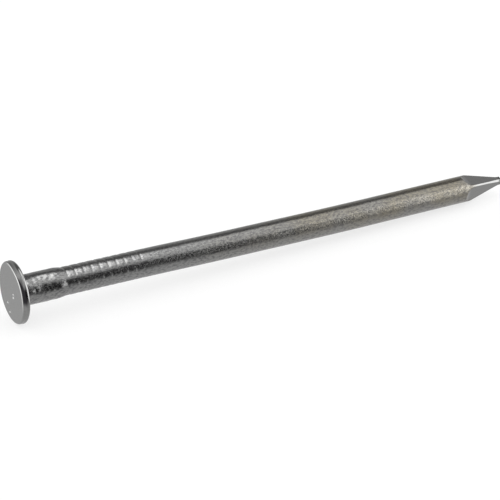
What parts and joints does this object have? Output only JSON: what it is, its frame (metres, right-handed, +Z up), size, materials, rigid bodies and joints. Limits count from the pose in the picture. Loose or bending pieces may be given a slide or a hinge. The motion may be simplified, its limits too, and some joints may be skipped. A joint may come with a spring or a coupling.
{
  "type": "round wire nail",
  "caption": "Round wire nail with a flat head, a plain shank with grip marks under the head and a four-sided diamond point.",
  "frame": {"origin": "centre of the flat face that the hammer strikes", "axes": "+X along the wire from the struck face to the point, +Z up as the nail lies on its side"},
  "size_m": [0.075, 0.0084, 0.0084],
  "materials": {
    "bright_steel": "bright drawn wire, uncoated and tumbled"
  },
  "bodies": {
    "root": {"nail": "bright_steel"}
  },
  "joints": []
}
